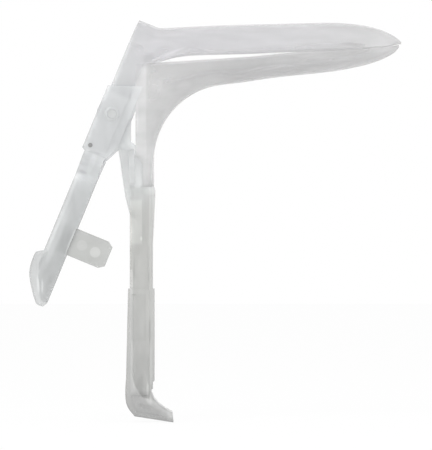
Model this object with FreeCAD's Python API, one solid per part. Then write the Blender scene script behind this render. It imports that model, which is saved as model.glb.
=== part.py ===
import FreeCAD, Part
import math
import os

# Bivalve speculum, medium size, moulded in clear plastic. Millimetres, upright, +X towards the blade tips,
# +Z up along the handle. The origin is on the middle line of the grip. Everything but the latch tab and its
# pegs is the same on both sides of the plane Y = 0.

V = FreeCAD.Vector

# Walls and clearances
BLADE_WALL = 1.6
LEG_WALL = 1.8
SLIDE_GAP = 0.4          # between the yoke and what it slides past
CHEEK_GAP = 0.3          # between a cheek and the leg that swings beside it
CHANNEL_GAP = 0.2        # around the stem and the tongue in the handle's channel

# Upper half: a rear plane that leans back, an arch with two legs in it, and the bill in front
LEAN = 22.4              # degrees from upright
PEAK_X = -0.55           # top of the arch on the rear plane
PEAK_Z = 132.2
LEG_DEPTH = 9.0          # of the arch and its legs, square to the rear plane
LEG_INSIDE = 19.0        # half the clear width between the legs
LEG_LENGTH = 58.0        # from the peak to the leg's end, down the rear plane
ARCH_RISE = 17.5         # from the top of the legs to the peak
UPPER_TIP_X = 109.2
TIP_HOLLOW_HALF = 2.0    # of the hollow where it ends behind the tip

# Lower half: a trough, a collar behind it, and a neck that leads into the handle
COLLAR_X = -2.1          # rear face of the collar
COLLAR_HALF = 16.1
COLLAR_TOP = 113.0
RIM_WIDTH = 4.2          # of the raised rim round the collar's rear face
RIM_RISE = 0.6
NECK_ARC_X = 37.5        # centre of the arc under the blade, which runs down into the neck
NECK_ARC_Z = 73.2
NECK_ARC_RADIUS = 32.0
NECK_REAR_X = 0.8        # rear edge of the neck and the stem, clear of the yoke
NECK_STEP_Z = 75.0       # below this the neck's rear edge stands forward, to pass the tongue
STEM_HALF = 5.4
STEM_WALL = 1.5
STEM_END_Z = 22.0
TONGUE_GAP = 0.4         # between the stem's rear face and the tongue
CLICK_BUMP = 0.2         # how far the stem's clicks stand out
KEY_GAP = 0.5            # each side of the tongue's key in the stem's channel
KEY_RISE = 1.6
LOWER_TIP_X = 108.3

# Pivot of the upper half in the yoke, measured down the rear plane and square to it
PIVOT_DOWN = 41.1
PIVOT_IN = 4.8
PIN_DIAMETER = 4.0
PIN_CLEARANCE = 0.06
PIN_HEAD_DIAMETER = 6.4
PIN_HEAD_HEIGHT = 0.9
PIN_HEAD_LIFT = 0.15     # between the head and the lever that turns under it

# Yoke
CHEEK_WALL = 1.8
CHEEK_RADIUS = 6.4
SADDLE_WALL = 2.4
SADDLE_TOP_Z = 81.0
SADDLE_FLOOR_Z = 75.4
YOKE_REAR_X = -9.6       # corner of the yoke's rear outline, just under the lever's head
YOKE_REAR_Z = 78.5
TONGUE_END_Z = 38.2
TONGUE_THICK = 3.4
RIB_HALF = 2.5
RIB_END_Z = 48.0         # where the rear rib runs out on the tongue
CLICK_STEP = 15.0        # between the low and the high setting of the yoke
CLICK_Z = 40.6
CLICK_HEIGHT = 1.8
CLICK_DEPTH = 1.0

# Thumb lever, in the leaning frame of the rear plane
HEAD_TOP = 30.8          # at the rear plane: from there the head's top edge runs level to the front
HEAD_SKIN = 1.3          # how far the head stands proud of the legs
HEAD_FRONT = 12.4
HEAD_END_WALL = 0.6      # under the legs' ends
LEVER_DEPTH = 9.1
LEVER_WALL = 1.6
LEVER_FLOOR = 1.8        # the lever's rear wall, which is the floor of its channel
LEVER_LENGTH = 126.5
NECK_LENGTH = 12.0       # over which the fork closes in to the lever's width, below the legs
RIB_BELOW = 10.0         # the cross rib, below the legs
RIB_THICK = 1.2
PAD_REACH = 3.1          # how far the thumb pad stands behind the rear plane
HOLLOW_TOP = 22.4        # of the thumb hollow in the pad, above the lever's end
HOLLOW_END = 13.6

# Latch tab and the pegs it locks on
TAB_TOP = 90.8
TAB_WIDTH = 11.9
TAB_REACH = 26.0
TAB_THICK = 1.8
TAB_CORNER = 2.4
POCKET_DIAMETER = 4.3
POCKET_WEB = 0.5         # what is left of the tab over a pocket
POCKETS = ((6.3, 20.0), (5.7, 13.9))     # below the tab's top edge, and inward
PEG_DIAMETER = 2.3
PEG_HEIGHT = 1.4
PEG_GAP = 0.3            # between the pegs and the tab that swings past them
PEG_X = -2.1

LEG_PIN_DIAMETER = 1.9
LEG_PIN_UP = 1.5         # from the leg's end
LEG_PIN_IN = 1.5
WIDE = 30.0              # half of what cuts right across

# Handle
HANDLE_TOP = 62.2
HANDLE_REAR = -4.6
HANDLE_FRONT = 5.0
HANDLE_LIP = 1.0         # how far the front flares out at the top
BEAD_HEIGHT = 3.4        # of the bead round the front of the handle's mouth
BEAD_RISE = 0.5
HANDLE_WALL = 1.3
GRIP_TOP = 19.5
GRIP_END = -20.5
GRIP_RISE = 0.7
FOOT_Z = -36.4
FOOT_X = 13.6
RECESS_TOP = 17.2        # of the shallow panel on each side of the grip
RECESS_END = -2.1
RECESS_REAR = -3.9
RECESS_FRONT = 2.1
RECESS_DEPTH = 0.5       # also of the panel in the foot

os.makedirs("parts", exist_ok=True)


def box(x0, x1, y0, y1, z0, z1):
    return Part.makeBox(x1 - x0, y1 - y0, z1 - z0, V(x0, y0, z0))


def peg(x, z, diameter, y0, y1):
    """A round bar along Y."""
    return Part.makeCylinder(diameter / 2, y1 - y0, V(x, y0, z), V(0, 1, 0))


def both_sides(shape):
    """The shape and its mirror image in the middle plane."""
    return [shape, shape.mirror(V(0, 0, 0), V(0, 1, 0))]


def fused(shapes):
    return shapes[0].fuse(shapes[1:]).removeSplitter()


def curve(points):
    """A smooth edge through the points, evenly spaced along it, so that the edges of a loft match."""
    spline = Part.BSplineCurve()
    last = len(points) - 1
    spline.interpolate(Points=points, Parameters=[step / last for step in range(last + 1)])
    return spline.toShape()


def loop(runs):
    """A closed wire. Each run is a list of points: two make a straight edge and more make a smooth one.
    Straight edges close what is left open between one run and the next."""
    edges = []
    for run, following in zip(runs, runs[1:] + runs[:1]):
        edges.append(Part.makeLine(*run) if len(run) == 2 else curve(run))
        if run[-1].distanceToPoint(following[0]) > 1e-6:
            edges.append(Part.makeLine(run[-1], following[0]))
    return Part.Wire(edges)


def side_plate(runs, y0, y1):
    """A plate between two values of Y, from runs of (x, z) points."""
    wire = loop([[V(x, y0, z) for x, z in run] for run in runs])
    return Part.Face(wire).extrude(V(0, y1 - y0, 0))


def cross_plate(runs, x0, x1):
    """A plate between two values of X, from runs of (y, z) points."""
    wire = loop([[V(x0, y, z) for y, z in run] for run in runs])
    return Part.Face(wire).extrude(V(x1 - x0, 0, 0))


def lean(shape):
    """Turns a shape built with x square to the rear plane and -z down it, and sets it at the arch's peak."""
    placed = shape.copy()
    placed.rotate(V(0, 0, 0), V(0, 1, 0), LEAN)
    placed.translate(V(PEAK_X, 0, PEAK_Z))
    return placed


def lean_point(down, inward):
    """Where a place on the leaning half lies, as x and z."""
    point = FreeCAD.Rotation(V(0, 1, 0), LEAN).multVec(V(inward, 0, -down))
    return PEAK_X + point.x, PEAK_Z + point.z


PIVOT_X, PIVOT_Z = lean_point(PIVOT_DOWN, PIVOT_IN)
LEG_OUTSIDE = LEG_INSIDE + LEG_WALL
HEAD_OUTSIDE = LEG_OUTSIDE + HEAD_SKIN
CHEEK_OUTSIDE = LEG_INSIDE - CHEEK_GAP
CHEEK_INSIDE = CHEEK_OUTSIDE - CHEEK_WALL
SADDLE_FRONT = COLLAR_X - SLIDE_GAP
SADDLE_REAR = SADDLE_FRONT - SADDLE_WALL
TONGUE_FRONT = NECK_REAR_X - TONGUE_GAP
TONGUE_REAR = TONGUE_FRONT - TONGUE_THICK
CHANNEL_HALF = STEM_HALF + CHANNEL_GAP
HANDLE_HALF = CHANNEL_HALF + HANDLE_WALL
LEVER_INSIDE = HANDLE_HALF + PEG_HEIGHT + PEG_GAP + TAB_THICK
LEVER_HALF = LEVER_INSIDE + LEVER_WALL
HEAD_END = LEG_LENGTH + HEAD_END_WALL
LEVER_NECK = LEG_LENGTH + NECK_LENGTH
HEAD_FRONT_TOP = HEAD_TOP - HEAD_FRONT * math.tan(math.radians(LEAN))
LEG_PIN_DOWN = LEG_LENGTH - LEG_PIN_UP

SQUARENESS = 2.3         # of the arched sections: 2 is an ellipse
ARCH_STEPS = 6


def arch_shape(half, rim, crown):
    """Points (y, z) of an arch from one rim over the crown to the other, upright or inverted."""
    points = []
    for step in range(ARCH_STEPS + 1):
        turn = math.pi * step / ARCH_STEPS
        across = math.copysign(abs(math.cos(turn)) ** (2 / SQUARENESS), math.cos(turn))
        rise = math.sin(turn) ** (2 / SQUARENESS) if step < ARCH_STEPS else 0.0
        points.append((half * across, rim + (crown - rim) * rise))
    return points


def section(x, half, rim, crown, past=0.0):
    """A closed arched section in the plane X = x. With past, its rims run on beyond the rim height."""
    arch = [V(x, y, z) for y, z in arch_shape(half, rim, crown)]
    if not past:
        return loop([arch])
    beyond = rim - past if crown > rim else rim + past
    return loop([arch, [V(x, -half, rim), V(x, -half, beyond)], [V(x, half, beyond), V(x, half, rim)]])


# Rim heights, the same curve for both blades: the lower rim lies a gap below the upper one
RIM_LINE = ((16.0, 117.3), (26.0, 118.0), (46.0, 118.5), (66.0, 119.4), (82.0, 119.8), (92.0, 120.3),
            (99.5, 120.9), (104.5, 121.5), (107.6, 122.1))
RIM_GAP = ((16.0, 2.9), (26.0, 2.9), (46.0, 2.0), (66.0, 0.9), (74.0, 0.4), (107.6, 0.4))


def along(table, x):
    """The value of a table of (x, value) rows at x, in straight runs, the end rows carried on."""
    if x <= table[0][0]:
        return table[0][1]
    for (x0, v0), (x1, v1) in zip(table, table[1:]):
        if x <= x1:
            return v0 + (v1 - v0) * (x - x0) / (x1 - x0)
    return table[-1][1]


def upper_blade():
    """Arch, legs and bill. Rows of the bill are x, half width and crown height."""
    rows = ((16.0, 16.6, 129.2), (26.0, 14.3, 129.7), (46.0, 13.6, 130.4), (66.8, 13.5, 130.9),
            (82.0, 13.1, 131.1), (92.0, 12.1, 130.2), (99.5, 10.0, 128.5), (104.5, 7.4, 126.5),
            (107.6, 4.6, 124.6), (UPPER_TIP_X, 1.6, 123.0))

    outer = [lean(section(LEG_DEPTH - 1.0, LEG_OUTSIDE, -ARCH_RISE, 0.0))]
    inner = [lean(section(LEG_DEPTH - 1.2, LEG_INSIDE, -ARCH_RISE, -LEG_WALL, 4.0))]
    for x, half, crown in rows:
        rim = along(RIM_LINE, x)
        outer.append(section(x, half, rim, crown))
        if x < UPPER_TIP_X - BLADE_WALL - 1.0:
            inner.append(section(x, half - BLADE_WALL, rim, crown - BLADE_WALL, 3.0))
    end_x = UPPER_TIP_X - BLADE_WALL
    end_rim = along(RIM_LINE, end_x)
    inner.append(section(end_x, TIP_HOLLOW_HALF, end_rim - 1.0, end_rim + 0.6, 3.0))
    bill = Part.makeLoft(outer, True)
    hollow = Part.makeLoft(inner, True)

    arch_out = [V(0, y, z) for y, z in arch_shape(LEG_OUTSIDE, -ARCH_RISE, 0.0)]
    arch_in = [V(0, y, z) for y, z in arch_shape(LEG_INSIDE, -ARCH_RISE, -LEG_WALL)]
    ends = [V(0, -LEG_OUTSIDE, -LEG_LENGTH), V(0, -LEG_INSIDE, -LEG_LENGTH)]
    feet = [V(0, LEG_INSIDE, -LEG_LENGTH), V(0, LEG_OUTSIDE, -LEG_LENGTH)]
    band = Part.Face(loop([arch_out, ends, arch_in[::-1], feet])).extrude(V(LEG_DEPTH, 0, 0))
    window = Part.Face(loop([arch_in, [V(0, -LEG_INSIDE, -LEG_LENGTH), V(0, LEG_INSIDE, -LEG_LENGTH)]]))
    window = window.extrude(V(LEG_DEPTH, 0, 0))

    shape = bill.cut(hollow).cut(lean(window)).fuse(lean(band))
    bore = peg(PIVOT_X, PIVOT_Z, PIN_DIAMETER + 2 * PIN_CLEARANCE, CHEEK_INSIDE, HEAD_OUTSIDE)
    for hole in both_sides(bore):
        shape = shape.cut(hole)
    pin_x, pin_z = lean_point(LEG_PIN_DOWN, LEG_PIN_IN)
    for side in both_sides(peg(pin_x, pin_z, LEG_PIN_DIAMETER, LEG_INSIDE, HEAD_OUTSIDE)):
        shape = shape.cut(side)
    return shape.removeSplitter()


def trough_section(x, z, degrees, half, rim, floor, past=0.0):
    """A U-shaped section in a plane through (x, z). Degrees is the way its open side faces, from the
    forward direction, and rim and floor are distances from (x, z) that way."""
    shape = section(0.0, half, rim, floor, past)
    shape.rotate(V(0, 0, 0), V(0, 1, 0), 90.0 - degrees)
    shape.translate(V(x, 0, z))
    return shape


def lower_loft(wall):
    """The neck, the collar and the trough in one sweep round the neck's arc. With no wall it is the outside,
    and with one it is the hollow. It runs past the rear face and the rims, where it is trimmed."""
    past = 3.0 if wall > 0 else 0.0
    arc = NECK_ARC_RADIUS + wall
    rear = NECK_ARC_X - COLLAR_X + 2.0

    # Straight neck: height and half width, from the handle up
    neck = ((HANDLE_TOP, STEM_HALF), (HANDLE_TOP + 3.8, STEM_HALF + 0.5))
    # Round the arc: degrees, half width, and how far out the section reaches
    bend = ((180.0, 8.6, rear), (168.0, 12.0, rear + 1.5), (156.0, 14.6, rear + 4.5),
            (145.0, COLLAR_HALF - 0.3, 51.0), (134.0, COLLAR_HALF, 57.5), (122.0, COLLAR_HALF - 0.5, 49.5),
            (110.0, 14.4, 45.2), (100.0, 13.5, 43.4))
    # Trough: x, half width and floor height
    trough = ((42.0, 12.7, 106.0), (54.0, 12.6, 107.8), (66.8, 12.5, 109.2), (82.0, 12.1, 110.9),
              (92.0, 11.0, 112.8), (99.5, 8.9, 115.0), (104.5, 6.3, 117.3), (107.0, 3.9, 119.1),
              (LOWER_TIP_X, 1.5, 120.8))
    if wall > 0:
        trough = trough[:-2]

    sections = []
    for z, half in neck:
        reach = NECK_ARC_X - NECK_REAR_X + 1.0
        sections.append(trough_section(NECK_ARC_X, z, 180.0, half - wall, reach, arc, past))
    for degrees, half, reach in bend:
        sections.append(trough_section(NECK_ARC_X, NECK_ARC_Z, degrees, half - wall, reach, arc, past))
    for x, half, floor in trough:
        rim = along(RIM_LINE, x) - along(RIM_GAP, x)
        sections.append(trough_section(x, 0.0, 90.0, half - wall, rim, floor + wall, past))
    if wall > 0:
        end_x = LOWER_TIP_X - BLADE_WALL - 0.2
        end_floor = along(RIM_LINE, end_x) - 1.8
        sections.append(trough_section(end_x, 0.0, 90.0, TIP_HOLLOW_HALF, end_floor + 1.0, end_floor, past))
    return Part.makeLoft(sections, True)


def lower_blade():
    """Trough, collar, neck and stem, trimmed to the rims and the collar's rear face."""
    rear_line = [(COLLAR_X, COLLAR_TOP), (COLLAR_X, NECK_STEP_Z)]
    stepped = [(NECK_REAR_X, NECK_STEP_Z - 3.0), (NECK_REAR_X, HANDLE_TOP)]
    rims = [(x, along(RIM_LINE, x) - along(RIM_GAP, x)) for x, _ in RIM_LINE]
    rims = [(LOWER_TIP_X + 2, rims[-1][1])] + rims[::-1] + [(8.0, COLLAR_TOP + 1.0)]
    edges = [[a, b] for a, b in zip(rims, rims[1:])]
    kept = side_plate([rear_line, stepped, [(LOWER_TIP_X + 2, HANDLE_TOP), rims[0]]] + edges, -WIDE, WIDE)

    rim_depth = COLLAR_X + RIM_WIDTH
    rim_kept = side_plate([[(COLLAR_X, COLLAR_TOP), (COLLAR_X, NECK_STEP_Z)],
                           [(rim_depth, NECK_STEP_Z), (rim_depth, COLLAR_TOP)]], -WIDE, WIDE)
    outside = lower_loft(0.0)
    raised = lower_loft(-RIM_RISE).common(rim_kept)

    stem_front = HANDLE_FRONT - HANDLE_WALL - CHANNEL_GAP
    stem = box(NECK_REAR_X, stem_front, -STEM_HALF, STEM_HALF, STEM_END_Z, HANDLE_TOP)
    channel = box(NECK_REAR_X - 1, stem_front - STEM_WALL, STEM_WALL - STEM_HALF, STEM_HALF - STEM_WALL,
                  STEM_END_Z - 1, HANDLE_TOP + 4)
    clicks = both_sides(box(NECK_REAR_X - CLICK_BUMP, NECK_REAR_X + 1.0, STEM_HALF - STEM_WALL, STEM_HALF,
                            CLICK_Z + CLICK_STEP + 0.3, CLICK_Z + CLICK_STEP + CLICK_HEIGHT - 0.3))

    shape = outside.common(kept).fuse([raised, stem])
    shape = shape.cut([lower_loft(BLADE_WALL), channel])
    return shape.fuse(clicks).removeSplitter()


def yoke():
    """Two cheeks on a saddle, a rear rib, and the tongue that slides in the handle, keyed to the stem."""
    disc = peg(PIVOT_X, PIVOT_Z, 2 * CHEEK_RADIUS, CHEEK_INSIDE, CHEEK_OUTSIDE)
    front = SADDLE_REAR + 0.5
    arm = side_plate([[(PIVOT_X + 1.0, PIVOT_Z + CHEEK_RADIUS - 0.1), (front, SADDLE_TOP_Z + 9.5)],
                      [(front, SADDLE_TOP_Z), (SADDLE_FRONT, SADDLE_TOP_Z - 1)],
                      [(SADDLE_FRONT, SADDLE_TOP_Z - 3), (SADDLE_REAR, SADDLE_TOP_Z - 4)],
                      [(YOKE_REAR_X, YOKE_REAR_Z), (PIVOT_X - CHEEK_RADIUS + 0.1, PIVOT_Z - 1.0)]],
                     CHEEK_INSIDE, CHEEK_OUTSIDE)
    shapes = both_sides(disc) + both_sides(arm)

    outside = [(CHEEK_OUTSIDE, SADDLE_TOP_Z - 1), (CHEEK_OUTSIDE - 0.8, 76.8), (14.0, 71.6), (8.8, 66.6),
               (STEM_HALF, HANDLE_TOP)]
    inside = [(-CHEEK_INSIDE, SADDLE_TOP_Z - 1), (2.0 - CHEEK_INSIDE, 77.6), (-8.0, SADDLE_FLOOR_Z + 0.4),
              (0.0, SADDLE_FLOOR_Z), (8.0, SADDLE_FLOOR_Z + 0.4), (CHEEK_INSIDE - 2.0, 77.6),
              (CHEEK_INSIDE, SADDLE_TOP_Z - 1)]
    far = [(-y, z) for y, z in reversed(outside)]
    shapes.append(cross_plate([outside, far, inside], SADDLE_REAR, SADDLE_FRONT))

    shapes.append(box(TONGUE_REAR, TONGUE_FRONT, -STEM_HALF, STEM_HALF, TONGUE_END_Z, SADDLE_FLOOR_Z))
    rear_edge = [(-4.6, RIB_END_Z + 2.4), (-5.7, 54.6), (-6.9, 60.2), (-8.2, 69.3),
                 (YOKE_REAR_X, YOKE_REAR_Z)]
    under_saddle = [(SADDLE_REAR + 0.5, SADDLE_TOP_Z - 1), (SADDLE_FRONT, SADDLE_FLOOR_Z)]
    in_tongue = [(TONGUE_REAR + 1, HANDLE_TOP - 0.2), (TONGUE_REAR + 1, RIB_END_Z)]
    shapes.append(side_plate([rear_edge, under_saddle, in_tongue], -RIB_HALF, RIB_HALF))
    shape = fused(shapes)
    for number in (0, 1):
        z = CLICK_Z + number * CLICK_STEP
        shape = shape.cut(box(TONGUE_FRONT - CLICK_DEPTH, TONGUE_FRONT + 1, -STEM_HALF - 1, STEM_HALF + 1,
                              z, z + CLICK_HEIGHT))
    key_half = STEM_HALF - STEM_WALL - KEY_GAP
    shape = shape.fuse(box(TONGUE_FRONT - CLICK_DEPTH, TONGUE_FRONT + KEY_RISE, -key_half, key_half,
                           TONGUE_END_Z + 1.0, SADDLE_FLOOR_Z - 1.0))
    for hole in both_sides(peg(PIVOT_X, PIVOT_Z, PIN_DIAMETER, CHEEK_INSIDE - 1, CHEEK_OUTSIDE + 1)):
        shape = shape.cut(hole)
    return shape.removeSplitter()


def pivot_pin(side):
    """Pin with a bevelled head outside the lever's head and a flat one inside the cheek. Side is 1 or -1."""
    head_start = HEAD_OUTSIDE + PIN_HEAD_LIFT
    head_end = head_start + PIN_HEAD_HEIGHT
    shank = peg(PIVOT_X, PIVOT_Z, PIN_DIAMETER, CHEEK_INSIDE, head_start)
    inner = peg(PIVOT_X, PIVOT_Z, PIN_HEAD_DIAMETER, CHEEK_INSIDE - PIN_HEAD_HEIGHT, CHEEK_INSIDE)
    head = peg(PIVOT_X, PIVOT_Z, PIN_HEAD_DIAMETER, head_start, head_end)
    edge = [e for e in head.Edges if e.BoundBox.YMin > head_end - 0.01 and e.Length > PIN_HEAD_DIAMETER]
    head = head.makeChamfer(PIN_HEAD_HEIGHT * 0.5, edge)
    shape = fused([shank, inner, head])
    return shape if side > 0 else shape.mirror(V(0, 0, 0), V(0, 1, 0))


def fork_outline(inset, top, end):
    """Runs (y, z) down one flank of the lever and up the other. The z here is minus the way down."""
    flank = [(HEAD_OUTSIDE - inset, -HEAD_END + 1), (HEAD_OUTSIDE - 2.4 - inset, -HEAD_END - 3.4),
             (LEVER_HALF + 2.0 - inset, -LEVER_NECK + 3.4), (LEVER_HALF - inset, -LEVER_NECK - 1)]
    far = [(-y, z) for y, z in reversed(flank)]
    return [[(HEAD_OUTSIDE - inset, -top), flank[0]], flank, [flank[-1], (LEVER_HALF - inset, -end)],
            [(inset - LEVER_HALF, -end), far[0]], far, [far[-1], (inset - HEAD_OUTSIDE, -top)]]


def thumb_lever():
    """Forked head that wraps the legs, channel open to the front, and a thumb pad at the end."""
    body = cross_plate(fork_outline(0.0, HEAD_FRONT_TOP - 1, LEVER_LENGTH + 1), -PAD_REACH - 2, HEAD_FRONT)
    end = -LEVER_LENGTH
    top = 1.0 - HEAD_FRONT_TOP
    pad_root = (0.0, end + 22.1)
    pad = [(1.2 - PAD_REACH, end + 21.0), (0.2 - PAD_REACH, end + 20.2), (-PAD_REACH, end + 17.0),
           (0.5 - PAD_REACH, end + 12.7), (1.9 - PAD_REACH, end + 9.2), (4.7 - PAD_REACH, end + 4.9),
           (8.1 - PAD_REACH, end + 0.6)]
    side = side_plate([[(-HEAD_SKIN, -HEAD_TOP), (-HEAD_SKIN, -HEAD_END)], [(0.0, -HEAD_END - 0.8), pad_root],
                       pad[:2], pad[1:], [(6.4, end), (8.3, end)],
                       [(LEVER_DEPTH, end + 1.6), (LEVER_DEPTH, -HEAD_END - 1.5)],
                       [(HEAD_FRONT, -HEAD_END + 5.6), (HEAD_FRONT, -HEAD_FRONT_TOP)]],
                      -HEAD_OUTSIDE, HEAD_OUTSIDE)
    body = body.common(side)

    # The legs' sockets, and the open space between them
    past = HEAD_FRONT + 1.0
    body = body.cut(box(-past, past, -LEG_INSIDE, LEG_INSIDE, -LEG_LENGTH, top))
    for socket in both_sides(box(0, LEG_DEPTH, LEG_INSIDE - 1, LEG_OUTSIDE, -LEG_LENGTH, top)):
        body = body.cut(socket)

    # The channel: what is inside the walls, from under the legs to the pad, and a passage up between the legs
    channel_top = -LEG_LENGTH - LEVER_WALL
    deep = cross_plate(fork_outline(LEVER_WALL, HEAD_TOP, LEVER_LENGTH), LEVER_FLOOR, past)
    pad_inside = [(LEVER_FLOOR, end + 10.5), (4.4, end + 6.1), (6.6, end + 2.6), (past, end + 2.6)]
    reach = side_plate([pad_inside, [(past, channel_top), (LEVER_FLOOR, channel_top)]],
                       -HEAD_OUTSIDE, HEAD_OUTSIDE)
    body = body.cut(deep.common(reach))
    thumb_hollow = [(LEVER_FLOOR, end + HOLLOW_TOP), (0.3, end + HOLLOW_TOP - 2.8),
                    (0.2, end + HOLLOW_END + 2.0), (LEVER_FLOOR, end + HOLLOW_END)]
    in_channel = [(LEVER_FLOOR + 1.0, end + HOLLOW_END), (LEVER_FLOOR + 1.0, end + HOLLOW_TOP)]
    body = body.cut(side_plate([thumb_hollow, in_channel], 1.0 - LEVER_INSIDE, LEVER_INSIDE - 1.0))
    body = body.cut(box(LEVER_FLOOR, past, -LEVER_INSIDE, LEVER_INSIDE, channel_top - 1, -HEAD_TOP))
    rib_z = -LEG_LENGTH - RIB_BELOW
    rib = box(LEVER_FLOOR - 0.2, LEVER_FLOOR + 2.5, -LEVER_INSIDE - 0.2, LEVER_INSIDE + 0.2,
              rib_z - RIB_THICK / 2, rib_z + RIB_THICK / 2)
    body = body.fuse(rib)
    body = lean(body)
    bore = peg(PIVOT_X, PIVOT_Z, PIN_DIAMETER + 2 * PIN_CLEARANCE, CHEEK_INSIDE, HEAD_OUTSIDE + 1)
    for hole in both_sides(bore):
        body = body.cut(hole)
    pin_x, pin_z = lean_point(LEG_PIN_DOWN, LEG_PIN_IN)
    for hole in both_sides(peg(pin_x, pin_z, LEG_PIN_DIAMETER, LEG_INSIDE, HEAD_OUTSIDE + 1)):
        body = body.cut(hole)
    return body.removeSplitter()


def locking_tab():
    """Flat plate on the right of the handle, rooted against the lever's side wall, with two round pockets in
    its inner face for the handle's pegs."""
    y0 = -LEVER_INSIDE
    y1 = y0 + TAB_THICK
    end = TAB_TOP + TAB_WIDTH
    outline = [(LEVER_FLOOR, -TAB_TOP), (TAB_REACH - TAB_CORNER, -TAB_TOP),
               (TAB_REACH, -TAB_TOP - TAB_CORNER * 0.7), (TAB_REACH, -end + TAB_CORNER * 0.7),
               (TAB_REACH - TAB_CORNER, -end), (LEVER_FLOOR, -end)]
    runs = [[a, b] for a, b in zip(outline, outline[1:] + outline[:1])]
    plate = side_plate(runs, y0, y1)
    for below, inward in POCKETS:
        plate = plate.cut(peg(inward, -TAB_TOP - below, POCKET_DIAMETER, y0 + POCKET_WEB, y1 + 1))
    return lean(plate)


def leg_pin(side):
    """Short pin through the end of a leg and the lever's head. Side is 1 or -1."""
    x, z = lean_point(LEG_PIN_DOWN, LEG_PIN_IN)
    shape = peg(x, z, LEG_PIN_DIAMETER, LEG_INSIDE, HEAD_OUTSIDE)
    return shape if side > 0 else shape.mirror(V(0, 0, 0), V(0, 1, 0))


def handle():
    """Channel open to the rear where the tongue slides, a thicker grip, and a foot that turns forward."""
    lip = HANDLE_FRONT + HANDLE_LIP
    lip_bevel = [(lip - 0.4, HANDLE_TOP), (lip, HANDLE_TOP - 1.6)]
    shaft = side_plate([[(HANDLE_REAR, GRIP_END - 2), (HANDLE_REAR, HANDLE_TOP)],
                        lip_bevel, [(lip, HANDLE_TOP - 4.0), (HANDLE_FRONT, HANDLE_TOP - 24)],
                        [(HANDLE_FRONT, GRIP_TOP), (HANDLE_FRONT, GRIP_END - 2)]],
                       -HANDLE_HALF, HANDLE_HALF)
    grip_rear = HANDLE_REAR - GRIP_RISE
    grip_front = HANDLE_FRONT + GRIP_RISE
    grip_half = HANDLE_HALF + GRIP_RISE
    grip = side_plate([[(grip_rear, GRIP_TOP), (grip_front, GRIP_TOP)], [(grip_front, GRIP_END + 1.5),
                       (grip_front - 1.4, GRIP_END)], [(-6.2, GRIP_END), (grip_rear, GRIP_TOP)]],
                      -grip_half, grip_half)
    front = [(4.2, GRIP_END + 2), (4.5, -23.6), (6.2, -27.2), (9.4, -30.0), (13.2, -32.2)]
    rear = [(-2.5, -33.9), (-4.9, -31.0), (-6.3, -27.0), (-6.2, GRIP_END + 2)]
    foot = side_plate([front, [(13.2, -32.2), (FOOT_X, FOOT_Z)], [(FOOT_X, FOOT_Z), (-2.5, -33.9)], rear],
                      -grip_half, grip_half)
    bead = side_plate([[(1.2, HANDLE_TOP - 0.8), (2.0, HANDLE_TOP)], lip_bevel,
                       [(lip - 0.1, HANDLE_TOP - BEAD_HEIGHT), (2.4, HANDLE_TOP - BEAD_HEIGHT - 0.4)],
                       [(1.2, HANDLE_TOP - BEAD_HEIGHT + 0.6), (1.2, HANDLE_TOP - 0.8)]],
                      -HANDLE_HALF - BEAD_RISE, HANDLE_HALF + BEAD_RISE)
    shape = fused([shaft, grip, foot, bead])

    # The channel ends in a hollow that curves down into the foot
    inside_rear = HANDLE_REAR + 1.2
    inside_front = HANDLE_FRONT - HANDLE_WALL
    heel = [(inside_rear, GRIP_END + 3.5), (-2.6, GRIP_END), (-1.0, GRIP_END - 3.1), (1.3, GRIP_END - 5.9)]
    channel = side_plate([[(inside_rear, HANDLE_TOP + 1), heel[0]], heel,
                          [(inside_front, GRIP_END - 5.9), (inside_front, HANDLE_TOP + 1)]],
                         -CHANNEL_HALF, CHANNEL_HALF)
    slot = box(HANDLE_REAR - 2, 0, -RIB_HALF - SLIDE_GAP, RIB_HALF + SLIDE_GAP, GRIP_TOP + 8, HANDLE_TOP + 1)
    shape = shape.cut([channel, slot])
    panel_floor = grip_half - RECESS_DEPTH
    grip_panel = box(RECESS_REAR, RECESS_FRONT, panel_floor, grip_half + 1, RECESS_END, RECESS_TOP)
    for recess in both_sides(grip_panel):
        shape = shape.cut(recess)
    sole = [(RECESS_REAR, -26.0), (-3.1, -29.4), (-1.4, -32.0)]
    instep = [(11.2, -32.7), (7.4, -30.6), (4.2, -27.6)]
    foot_panel = side_plate([sole, [sole[-1], (11.6, -34.4)], instep, [(2.9, -25.0), (RECESS_REAR, -25.0)]],
                            panel_floor, grip_half + 1)
    for recess in both_sides(foot_panel):
        shape = shape.cut(recess)

    # The pegs stand where both pockets pass, one peg for each height of the yoke
    reaches = [math.hypot(TAB_TOP + below - PIVOT_DOWN, inward - PIVOT_IN) for below, inward in POCKETS]
    drop = math.sqrt((sum(reaches) / len(reaches)) ** 2 - (PEG_X - PIVOT_X) ** 2)
    pegs = [peg(PEG_X, PIVOT_Z - drop + number * CLICK_STEP, PEG_DIAMETER,
                -HANDLE_HALF - PEG_HEIGHT, -HANDLE_HALF + 0.2) for number in (0, 1)]
    return fused([shape] + pegs)


NODES = {
    "upper_blade": upper_blade,
    "lower_blade": lower_blade,
    "yoke": yoke,
    "thumb_lever": thumb_lever,
    "locking_tab": locking_tab,
    "handle": handle,
    "left_pivot_pin": lambda: pivot_pin(1),
    "right_pivot_pin": lambda: pivot_pin(-1),
    "left_leg_pin": lambda: leg_pin(1),
    "right_leg_pin": lambda: leg_pin(-1),
}

for name, make in NODES.items():
    part = make()
    part.exportStep("parts/" + name + ".step")
    print(name, len(part.Solids), round(part.Volume, 1), part.isValid())
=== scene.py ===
"""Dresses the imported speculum: clear moulded plastic, a pale floor, soft light, the photograph's view."""

import math
from collections import namedtuple

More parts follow.
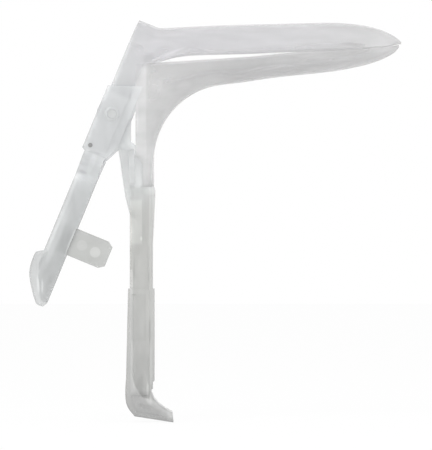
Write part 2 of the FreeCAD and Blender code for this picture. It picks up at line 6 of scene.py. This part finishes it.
import bpy
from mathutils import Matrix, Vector


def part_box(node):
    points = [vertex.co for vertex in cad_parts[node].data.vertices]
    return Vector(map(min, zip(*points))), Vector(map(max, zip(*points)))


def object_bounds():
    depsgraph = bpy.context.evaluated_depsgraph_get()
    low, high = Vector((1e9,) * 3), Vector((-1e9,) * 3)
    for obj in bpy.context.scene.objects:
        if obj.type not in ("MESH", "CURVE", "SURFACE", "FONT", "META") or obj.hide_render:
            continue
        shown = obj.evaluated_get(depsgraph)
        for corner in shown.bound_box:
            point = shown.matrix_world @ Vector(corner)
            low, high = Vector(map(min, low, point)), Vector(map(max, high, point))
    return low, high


MM = 0.001

# The camera: the photograph is a side view from far away
PHOTO_SIZE = (432, 450)
MM_PER_PIXEL = 0.42
PIXEL_OF_ORIGIN = (141.0, 335.0)
CAMERA_DISTANCE = 2000.0 * MM
SENSOR = 36.0            # millimetres
CLIP = (0.01, 50.0)      # nearest and furthest that it sees, in metres

# The surround, and the floor: its size in metres, the rest as shares
WORLD_LEVEL = 0.8
FLOOR_SIZE = 6.0
FLOOR_COLOUR = 0.92
FLOOR_ROUGHNESS = 0.9
FLOOR_SHINE = 0.1
FLOOR_GLOW = 0.94

# The round lamps: name, place in metres, power in watts
LAMPS = [
    ("key_lamp", (-0.5, -0.9, 0.9), 7.0),
    ("fill_lamp", (0.9, -0.7, 0.5), 3.0),
]
LAMP_TARGET = (0.03, 0.0, 0.05)
LAMP_SIZE = 0.8

# The plastic
PLASTIC_IOR = 1.50
HAZE = (0.62, 0.96)      # how much a face hides, seen square on and edge on
CLARITY = 0.5            # share of the light that goes through what isn't hidden
SEE_THROUGH_FACES = 32   # faces that a line of sight may cross, at the head over a dozen
EDGE_BLEND = 0.35        # how soon a face counts as seen edge on
ROUGHNESS = (0.12, 0.26)
STREAK_SCALE = 260.0
STREAK_DETAIL = 2.0
STREAK_TINT = (0.9, 1.1)         # lowest and highest factor on the tint
CLOUD_SCALE = 55.0
CLOUD_DETAIL = 3.0
CLOUD_TINT = (0.94, 1.06)
WAVE_STRENGTH = 0.2
WAVE_HEIGHT = 0.2 * MM
FLOW_ALONG_X = (0.25, 1.0, 1.0)  # stretches the streaks four times along X
FLOW_ALONG_Z = (1.0, 1.0, 0.25)

LEVER_LEAN = 22.4        # degrees
ALL_THROUGH = 1000.0     # half depth of a patch in millimetres, past both sides of the object
NODE_STEP = 200          # between shader nodes in the editor

# A lighter, darker, clearer or duller patch, through all of a piece from side to side; most lighter and
# darker patches are painted highlights and painted shade: centre (x, z) and half sizes in millimetres,
# factors on the tint and on how much it hides, square or round, tilt about Y in degrees, and how far its
# border fades.
Patch = namedtuple("Patch", "centre reach shade cover square tilt soft")


def patch(centre, reach, shade=1.0, cover=1.0, square=False, tilt=0.0, soft=0.3):
    """A patch, round and upright unless it is said otherwise."""
    return Patch(centre, reach, shade, cover, square, tilt, soft)


def link(tree, output, socket):
    """Joins a node's output to a socket."""
    tree.links.new(output, socket)


def node(tree, kind, **values):
    """A new shader node, to the right of the ones before it."""
    made = tree.nodes.new(kind)
    made.location = (NODE_STEP * len(tree.nodes), 0)
    for name, value in values.items():
        setattr(made, name, value)
    return made


def larger_of(tree, first, second):
    """The larger of two values, and so 1 where at least one of two flags is."""
    larger = node(tree, "ShaderNodeMath", operation="MAXIMUM")
    link(tree, first, larger.inputs[0])
    link(tree, second, larger.inputs[1])
    return larger.outputs[0]


def product(tree, first, second):
    """Two values multiplied."""
    made = node(tree, "ShaderNodeMath", operation="MULTIPLY")
    link(tree, first, made.inputs[0])
    link(tree, second, made.inputs[1])
    return made.outputs[0]


def scaled(tree, colour, factor):
    """A colour multiplied by one value."""
    made = node(tree, "ShaderNodeVectorMath", operation="SCALE")
    link(tree, colour, made.inputs[0])
    link(tree, factor, made.inputs["Scale"])
    return made.outputs[0]


def between(tree, value, low, high):
    """A value from 0 to 1 spread between two others."""
    spread = node(tree, "ShaderNodeMapRange")
    spread.inputs["To Min"].default_value = low
    spread.inputs["To Max"].default_value = high
    link(tree, value, spread.inputs["Value"])
    return spread.outputs["Result"]


def noise(tree, where, scale, detail):
    """Cloudy values round 0.5."""
    made = node(tree, "ShaderNodeTexNoise")
    made.inputs["Scale"].default_value = scale
    made.inputs["Detail"].default_value = detail
    link(tree, where, made.inputs["Vector"])
    return made.outputs["Fac"]


def tint_along(tree, where, axis, stops):
    """The tint at a place, from stops in millimetres along one axis."""
    parts = node(tree, "ShaderNodeSeparateXYZ")
    link(tree, where, parts.inputs[0])
    low = stops[0][0]
    high = stops[-1][0]
    span = node(tree, "ShaderNodeMapRange")
    span.inputs["From Min"].default_value = low * MM
    span.inputs["From Max"].default_value = high * MM
    link(tree, parts.outputs[axis], span.inputs["Value"])
    ramp = node(tree, "ShaderNodeValToRGB")
    elements = ramp.color_ramp.elements
    while len(elements) < len(stops):
        elements.new(1.0)
    for element, (position, tint) in zip(elements, stops):
        element.position = (position - low) / (high - low)
        element.color = tint + (1.0,)
    link(tree, span.outputs["Result"], ramp.inputs["Fac"])
    return ramp.outputs["Color"]


def patch_mask(tree, where, spot):
    """1 inside the patch, 0 outside, with a soft border."""
    local = node(tree, "ShaderNodeMapping", vector_type="TEXTURE")
    x, z = spot.centre
    wide, high = spot.reach
    local.inputs["Location"].default_value = (x * MM, 0.0, z * MM)
    local.inputs["Rotation"].default_value = (0.0, math.radians(spot.tilt), 0.0)
    local.inputs["Scale"].default_value = (wide * MM, ALL_THROUGH * MM, high * MM)
    link(tree, where, local.inputs["Vector"])
    if spot.square:
        positive = node(tree, "ShaderNodeVectorMath", operation="ABSOLUTE")
        link(tree, local.outputs[0], positive.inputs[0])
        parts = node(tree, "ShaderNodeSeparateXYZ")
        link(tree, positive.outputs[0], parts.inputs[0])
        distance = larger_of(tree, parts.outputs["X"], parts.outputs["Z"])
    else:
        size = node(tree, "ShaderNodeVectorMath", operation="LENGTH")
        link(tree, local.outputs[0], size.inputs[0])
        distance = size.outputs["Value"]
    border = node(tree, "ShaderNodeMapRange", interpolation_type="SMOOTHSTEP")
    border.inputs["From Min"].default_value = 1.0 - spot.soft
    border.inputs["From Max"].default_value = 1.0 + spot.soft
    border.inputs["To Min"].default_value = 1.0
    border.inputs["To Max"].default_value = 0.0
    link(tree, distance, border.inputs["Value"])
    return border.outputs["Result"]


def clear_plastic(name, axis, stops, patches=(), haze=HAZE, flow=FLOW_ALONG_X):
    """Clear plastic: a tint with streaks along the melt's flow, clouds and patches, most of them painted
    highlights and painted shade, denser seen edge on.
    """
    made = bpy.data.materials.new(name)
    made.use_nodes = True
    tree = made.node_tree
    shader = tree.nodes["Principled BSDF"]
    where = node(tree, "ShaderNodeTexCoord").outputs["Object"]

    stretched = node(tree, "ShaderNodeMapping")
    stretched.inputs["Scale"].default_value = flow
    link(tree, where, stretched.inputs["Vector"])
    streak = noise(tree, stretched.outputs[0], STREAK_SCALE, STREAK_DETAIL)
    cloud = noise(tree, where, CLOUD_SCALE, CLOUD_DETAIL)

    colour = tint_along(tree, where, axis, stops)
    colour = scaled(tree, colour, between(tree, streak, *STREAK_TINT))
    colour = scaled(tree, colour, between(tree, cloud, *CLOUD_TINT))

    edge = node(tree, "ShaderNodeLayerWeight")
    edge.inputs["Blend"].default_value = EDGE_BLEND
    cover = between(tree, edge.outputs["Facing"], *haze)

    # Lighter and darker patches, most of them painted highlights and painted shade, scale the tint; others
    # change how much it hides
    for spot in patches:
        mask = patch_mask(tree, where, spot)
        if spot.shade != 1.0:
            colour = scaled(tree, colour, between(tree, mask, 1.0, spot.shade))
        if spot.cover != 1.0:
            cover = product(tree, cover, between(tree, mask, 1.0, spot.cover))

    waves = node(tree, "ShaderNodeBump")
    waves.inputs["Strength"].default_value = WAVE_STRENGTH
    waves.inputs["Distance"].default_value = WAVE_HEIGHT
    link(tree, streak, waves.inputs["Height"])
    link(tree, colour, shader.inputs["Base Color"])
    link(tree, cover, shader.inputs["Alpha"])
    link(tree, between(tree, cloud, *ROUGHNESS), shader.inputs["Roughness"])
    link(tree, waves.outputs[0], shader.inputs["Normal"])
    shader.inputs["Transmission Weight"].default_value = CLARITY
    shader.inputs["IOR"].default_value = PLASTIC_IOR
    return made


def grey(level, red=1.0, green=1.0, blue=1.0):
    """A grey, with a cast from factors on its three channels."""
    return tuple(min(1.0, level * factor) for factor in (red, green, blue))


def upper_blade_plastic():
    """Faintly violet, with a painted highlight along the arch's inner rim and painted shade near the tip
    and along the rim.
    """
    stops = [
        (-20.0, grey(0.84, 0.985, 1.0, 1.01)),
        (-13.0, grey(0.76, 0.985, 1.0, 1.01)),
        (-8.0, grey(0.68, 0.985, 1.0, 1.01)),
        (0.0, grey(0.70, 0.995, 0.995, 1.015)),
        (6.0, grey(0.73, 1.0, 0.995, 1.02)),
        (60.0, grey(0.75, 1.0, 0.995, 1.015)),
        (108.0, grey(0.77)),
    ]
    marks = [
        # Painted shade near the tip and along the rim where the blades meet, lighter at the tip
        patch((88.4, 121.6), (4.0, 0.8), shade=0.86, tilt=8, soft=0.5),
        patch((68.9, 120.1), (27.0, 1.5), shade=0.94, tilt=-4, soft=0.5),
        patch((100.8, 121.8), (3.0, 2.6), shade=1.02, soft=0.5),
        # Painted shade where the blade bends into the arch, with a painted highlight along the inner rim
        patch((7.0, 117.4), (5.5, 1.8), shade=0.93, tilt=-25, soft=0.6),
        patch((3.4, 115.8), (2.4, 1.8), shade=0.9, soft=0.5),
        patch((4.6, 114.0), (2.6, 0.5), shade=1.17, tilt=-35, soft=0.5),
        patch((12.2, 117.6), (5.9, 0.5), shade=1.12, tilt=-23, soft=0.5),
    ]
    return clear_plastic("clear_upper", "X", stops, marks)


def lower_blade_plastic():
    """A paler rim at the rear, long streaks along the blade, painted shade under its rim, painted light
    where it bends down, and a clear stem inside the handle.
    """
    stops = [
        (-2.2, grey(0.80)),
        (2.0, grey(0.80)),
        (2.6, grey(0.71)),
        (20.0, grey(0.68)),
        (45.0, grey(0.65)),
        (108.0, grey(0.74)),
    ]
    marks = [
        # Darker in a long streak along the blade, painted shade under its rim, lighter at the tip
        patch((62.6, 113.6), (23.0, 0.9), shade=0.94, tilt=-3, soft=0.6),
        patch((50.8, 116.0), (38.0, 1.3), shade=0.94, tilt=-4.2, square=True),
        patch((102.9, 120.2), (5.5, 1.6), shade=1.06, tilt=-5.5, soft=0.5),
        # Painted light where the blade bends down
        patch((1.7, 111.7), (4.0, 2.5), shade=1.06, soft=0.5),
        patch((26.5, 105.6), (9.0, 2.0), shade=1.05, tilt=-22, soft=0.5),
        patch((18.0, 104.0), (3.6, 2.0), shade=1.06, tilt=-45, soft=0.5),
        # Painted light and shade on the rear rim and the neck, and the stem, lighter and clear inside the
        # handle
        patch((0.0, 105.0), (3.0, 9.0), shade=1.12, square=True),
        patch((-1.0, 78.5), (3.0, 7.0), shade=0.94, square=True),
        patch((-1.7, 92.0), (0.9, 6.5), shade=1.1, soft=0.4),
        patch((6.0, 69.0), (9.0, 11.0), shade=1.18, square=True, soft=0.4),
        patch((3.0, 40.0), (10.0, 21.0), shade=1.3, cover=0.4, square=True, soft=0.05),
    ]
    return clear_plastic("clear_lower", "X", stops, marks)


def handle_plastic():
    """Greenish grey, darker towards the foot, with a pale mouth, painted light over the channel, and
    painted shade bands and painted highlights in the curve of the foot.
    """
    stops = [
        (-37.0, grey(0.39, 0.995, 1.0, 0.99)),
        (-28.0, grey(0.45, 0.995, 1.0, 0.985)),
        (-20.0, grey(0.51, 0.995, 1.0, 0.98)),
        (0.0, grey(0.55, 0.995, 1.0, 0.98)),
        (30.0, grey(0.62, 0.995, 1.0, 0.975)),
        (52.0, grey(0.65, 0.995, 1.0, 0.975)),
        (62.0, grey(0.76, 0.985, 1.0, 0.995)),
    ]
    marks = [
        # Painted light that evens out the shade over the channel through the wall, and painted shade along
        # its edges
        patch((-0.3, -2.5), (3.9, 21.5), shade=1.2, square=True, soft=0.04),
        patch((-0.3, 40.5), (4.3, 21.5), shade=1.14, square=True, soft=0.04),
        patch((-0.1, 8.0), (3.6, 15.5), shade=1.04, square=True, soft=0.15),
        patch((-3.7, -5.0), (0.55, 22.0), shade=0.93, soft=0.4),
        patch((4.5, 41.5), (0.7, 19.0), shade=0.91, soft=0.4),
        # Painted highlights at the end of the channel, in the heel
        patch((2.1, -20.2), (1.2, 5.0), shade=1.09, soft=0.5),
        patch((2.9, -23.1), (0.45, 3.2), shade=1.25, soft=0.5),
        # The tongue through the wall and the mouth above it, lighter, with a painted highlight and painted
        # shade lines beside them
        patch((-2.1, 47.5), (2.6, 9.2), shade=1.16, square=True, soft=0.1),
        patch((-2.5, 57.5), (4.0, 5.5), shade=1.04, soft=0.4),
        patch((0.2, 40.5), (0.4, 0.9), shade=1.25, soft=0.4),
        patch((-2.8, 27.2), (0.4, 4.6), shade=0.9, soft=0.4),
        patch((-2.9, 17.0), (1.0, 0.35), shade=0.88, soft=0.4),
        # Painted shade in the recessed panel of the grip, and a painted dark line and a painted highlight
        # down the front
        patch((-0.9, 7.5), (3.0, 9.7), shade=0.97, square=True, soft=0.08),
        patch((3.8, 2.1), (0.4, 5.6), shade=0.83, soft=0.4),
        patch((4.2, -15.5), (0.5, 11.5), shade=1.12, soft=0.4),
        # Painted shade in the heel and along the sole, painted highlights on the instep and toe
        patch((-0.6, -21.8), (1.7, 5.2), shade=0.9, tilt=15, soft=0.4),
        patch((3.4, -26.8), (1.2, 2.2), shade=1.2, tilt=-20, soft=0.5),
        patch((6.2, -29.2), (4.4, 1.2), shade=1.3, tilt=34, soft=0.5),
        patch((12.3, -33.3), (1.6, 2.2), shade=1.2, soft=0.5),
        patch((11.2, -32.9), (3.0, 1.6), shade=1.28, tilt=12, soft=0.5),
        patch((1.3, -29.8), (2.6, 0.9), shade=0.88, tilt=25, soft=0.5),
        # Painted highlight on the bead round the mouth
        patch((3.6, 60.2), (2.4, 1.4), shade=1.04),
    ]
    return clear_plastic("clear_handle", "Z", stops, marks, haze=(0.8, 0.96), flow=FLOW_ALONG_Z)


def yoke_plastic():
    """Cool and clear."""
    stops = [
        (38.0, grey(0.88, 0.98, 1.0, 1.0)),
        (64.0, grey(0.88, 0.98, 1.0, 1.0)),
        (72.0, grey(0.85, 0.98, 1.0, 1.0)),
        (98.0, grey(0.90, 0.98, 0.995, 1.005)),
    ]
    return clear_plastic("clear_yoke", "Z", stops, haze=(0.72, 0.95), flow=FLOW_ALONG_Z)


def lever_plastic():
    """Cool grey, palest at the head, with the dull line of the rib inside, painted shade along the head's
    margins, and painted highlights and shade round the tab's root and on the thumb pad.
    """
    stops = [
        (12.0, grey(0.68, 0.985, 1.0, 1.0)),
        (30.0, grey(0.62, 0.98, 1.0, 1.0)),
        (60.0, grey(0.69, 0.98, 1.0, 1.005)),
        (64.0, grey(0.76, 0.98, 1.0, 1.005)),
        (66.5, grey(0.90, 0.985, 1.0, 1.01)),
        (80.0, grey(0.90, 0.985, 1.0, 1.01)),
        (92.0, grey(0.97, 0.985, 1.0, 1.01)),
        (104.0, grey(0.97, 0.985, 1.0, 1.01)),
    ]
    marks = [
        # The rib inside, and a mark beside it
        patch((-24.2, 68.5), (1.9, 0.6), shade=0.85, tilt=LEVER_LEAN, soft=0.5),
        patch((-18.1, 76.0), (1.3, 0.4), shade=0.9, tilt=LEVER_LEAN, soft=0.5),
        # The head, which hides more because the legs lie inside, with painted shade along its margins
        patch((-17.0, 87.0), (14.0, 15.5), cover=1.25, tilt=LEVER_LEAN, square=True, soft=0.1),
        patch((-5.9, 90.6), (2.1, 15.5), shade=0.86, tilt=LEVER_LEAN, square=True, soft=0.25),
        patch((-19.2, 91.0), (1.2, 14.0), shade=0.83, tilt=LEVER_LEAN, square=True),
        patch((-19.0, 76.4), (5.0, 0.6), shade=0.88, tilt=LEVER_LEAN, square=True, soft=0.4),
        # The pale neck, and the pale rear wall
        patch((-20.2, 72.0), (1.3, 4.5), shade=1.1, tilt=LEVER_LEAN, soft=0.4),
        patch((-36.1, 39.9), (1.9, 14.0), shade=1.17, tilt=LEVER_LEAN, soft=0.4),
        # The tab's root through the wall, with painted shade beside it and a painted highlight along the
        # lever's edge
        patch((-29.6, 41.6), (2.4, 5.8), cover=1.2, tilt=LEVER_LEAN, soft=0.4),
        patch((-31.1, 40.9), (1.5, 5.2), shade=0.92, tilt=LEVER_LEAN, soft=0.5),
        patch((-29.0, 39.6), (0.6, 6.3), shade=1.35, tilt=LEVER_LEAN, soft=0.4),
        # Painted shade and two painted highlights on the thumb pad, and painted light on the clear front
        # edge of the neck
        patch((-38.6, 20.6), (1.4, 6.5), shade=0.92, tilt=LEVER_LEAN, soft=0.5),
        patch((-16.3, 70.8), (0.6, 3.4), shade=1.2, cover=0.8, tilt=LEVER_LEAN, soft=0.4),
        patch((-42.8, 21.3), (0.5, 3.5), shade=1.25, tilt=-4, soft=0.5),
        patch((-41.1, 20.6), (0.45, 2.8), shade=1.25, soft=0.5),
    ]
    return clear_plastic("clear_lever", "Z", stops, marks, haze=(0.72, 0.96), flow=FLOW_ALONG_Z)


def tab_plastic():
    """Greenish, with two round pockets that are thinner and so clearer, and painted shade along the upper
    edge.
    """
    stops = [
        (-36.0, grey(0.70, 0.985, 1.0, 0.98)),
        (-30.0, grey(0.54, 0.985, 1.0, 0.975)),
        (-10.0, grey(0.55, 0.985, 1.0, 0.975)),
    ]
    marks = [
        # The two pockets
        patch((-19.0, 34.8), (2.2, 2.2), shade=1.2, soft=0.12),
        patch((-24.5, 37.7), (2.2, 2.2), shade=1.1, soft=0.12),
        # Painted shade along the upper edge, and the end inside the lever
        patch((-20.0, 42.2), (8.2, 0.4), shade=0.85, tilt=LEVER_LEAN, square=True),
        patch((-33.0, 40.0), (3.6, 9.0), cover=0.25, tilt=LEVER_LEAN, square=True),
    ]
    return clear_plastic("tab_plastic", "X", stops, marks, haze=(0.8, 0.96))


def pivot_pin_plastic():
    """The clearest of the plastics, with a denser middle that hides the bores behind it."""
    low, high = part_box("left_pivot_pin")
    middle = ((low[0] + high[0]) / 2 / MM, (low[2] + high[2]) / 2 / MM)
    marks = [patch(middle, (1.9, 1.9), shade=0.8, cover=2.5, soft=0.15)]
    stops = [(80.0, grey(1.0, 0.985)), (100.0, grey(1.0, 0.985))]
    return clear_plastic("pivot_pin_plastic", "Z", stops, marks, haze=(0.3, 0.4))


def leg_pin_plastic():
    """Dark grey, the darkest of the plastics: a real pin, its darkness painted shade, the look of a pin
    seen end on through the clear walls.
    """
    stops = [(60.0, grey(0.4)), (100.0, grey(0.4))]
    return clear_plastic("leg_pin_plastic", "Z", stops, haze=(0.85, 1.0))


def dress_nodes(nodes):
    """Gives each piece its plastic, through its material slots."""
    pivot = pivot_pin_plastic()
    leg_pin = leg_pin_plastic()
    materials = {
        "upper_blade": upper_blade_plastic(),
        "lower_blade": lower_blade_plastic(),
        "handle": handle_plastic(),
        "yoke": yoke_plastic(),
        "thumb_lever": lever_plastic(),
        "locking_tab": tab_plastic(),
        "left_pivot_pin": pivot,
        "right_pivot_pin": pivot,
        "left_leg_pin": leg_pin,
        "right_leg_pin": leg_pin,
    }
    for name, piece in nodes.items():
        for slot in piece.material_slots:
            slot.material = materials[name]


def make_world():
    """A white surround for what the camera sees, mirrors and sees through; a plain level as light."""
    world = bpy.data.worlds.new("studio")
    bpy.context.scene.world = world
    world.use_nodes = True
    tree = world.node_tree
    back = tree.nodes["Background"]
    path = node(tree, "ShaderNodeLightPath")
    seen = larger_of(tree, path.outputs["Is Camera Ray"], path.outputs["Is Glossy Ray"])
    seen = larger_of(tree, seen, path.outputs["Is Transmission Ray"])
    back.inputs["Color"].default_value = (1.0, 1.0, 1.0, 1.0)
    link(tree, between(tree, seen, WORLD_LEVEL, 1.0), back.inputs["Strength"])


def make_floor(height):
    """A white floor under the foot that glows for the camera but still takes the object's shadow."""
    bpy.ops.mesh.primitive_plane_add(size=FLOOR_SIZE, location=(0.0, 0.0, height))
    floor = bpy.context.object
    floor.name = "floor"
    made = bpy.data.materials.new("floor_white")
    made.use_nodes = True
    tree = made.node_tree
    shader = tree.nodes["Principled BSDF"]
    shader.inputs["Base Color"].default_value = (FLOOR_COLOUR, FLOOR_COLOUR, FLOOR_COLOUR, 1.0)
    shader.inputs["Roughness"].default_value = FLOOR_ROUGHNESS
    shader.inputs["Specular IOR Level"].default_value = FLOOR_SHINE
    glow = node(tree, "ShaderNodeEmission")
    path = node(tree, "ShaderNodeLightPath")
    seen = larger_of(tree, path.outputs["Is Camera Ray"], path.outputs["Is Transmission Ray"])
    mix = node(tree, "ShaderNodeMixShader")
    link(tree, between(tree, seen, 0.0, FLOOR_GLOW), mix.inputs["Fac"])
    link(tree, shader.outputs[0], mix.inputs[1])
    link(tree, glow.outputs[0], mix.inputs[2])
    link(tree, mix.outputs[0], tree.nodes["Material Output"].inputs["Surface"])
    floor.data.materials.append(made)


def soft_lamp(name, place, power):
    """A round lamp that looks at the object."""
    data = bpy.data.lights.new(name, "AREA")
    data.shape = "DISK"
    data.size = LAMP_SIZE
    data.energy = power
    lamp = bpy.data.objects.new(name, data)
    bpy.context.scene.collection.objects.link(lamp)
    lamp.location = place
    lamp.rotation_euler = (Vector(LAMP_TARGET) - Vector(place)).to_track_quat("-Z", "Y").to_euler()


def make_camera():
    """The photograph's view: along +Y, with its centre and scale."""
    wide, high = PHOTO_SIZE
    centre = (
        (wide / 2 - PIXEL_OF_ORIGIN[0]) * MM_PER_PIXEL * MM,
        -CAMERA_DISTANCE,
        (PIXEL_OF_ORIGIN[1] - high / 2) * MM_PER_PIXEL * MM,
    )
    data = bpy.data.cameras.new("camera")
    data.sensor_width = SENSOR
    data.lens = SENSOR * CAMERA_DISTANCE / (high * MM_PER_PIXEL * MM)
    data.clip_start, data.clip_end = CLIP
    camera = bpy.data.objects.new("camera", data)
    bpy.context.scene.collection.objects.link(camera)
    camera.location = centre
    camera.rotation_euler = (math.radians(90), 0.0, 0.0)
    bpy.context.scene.camera = camera


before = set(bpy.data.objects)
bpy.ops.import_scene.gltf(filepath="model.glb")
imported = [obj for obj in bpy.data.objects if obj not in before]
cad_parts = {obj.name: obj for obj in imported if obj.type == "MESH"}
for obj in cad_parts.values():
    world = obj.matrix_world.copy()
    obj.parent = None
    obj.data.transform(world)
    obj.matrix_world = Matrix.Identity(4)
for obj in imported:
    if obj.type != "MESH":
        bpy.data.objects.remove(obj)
cad_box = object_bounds()
dress_nodes(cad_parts)
make_world()
make_floor(cad_box[0][2])
for lamp in LAMPS:
    soft_lamp(*lamp)
make_camera()
bpy.context.scene.view_settings.view_transform = "Standard"
bpy.context.scene.cycles.transparent_max_bounces = SEE_THROUGH_FACES
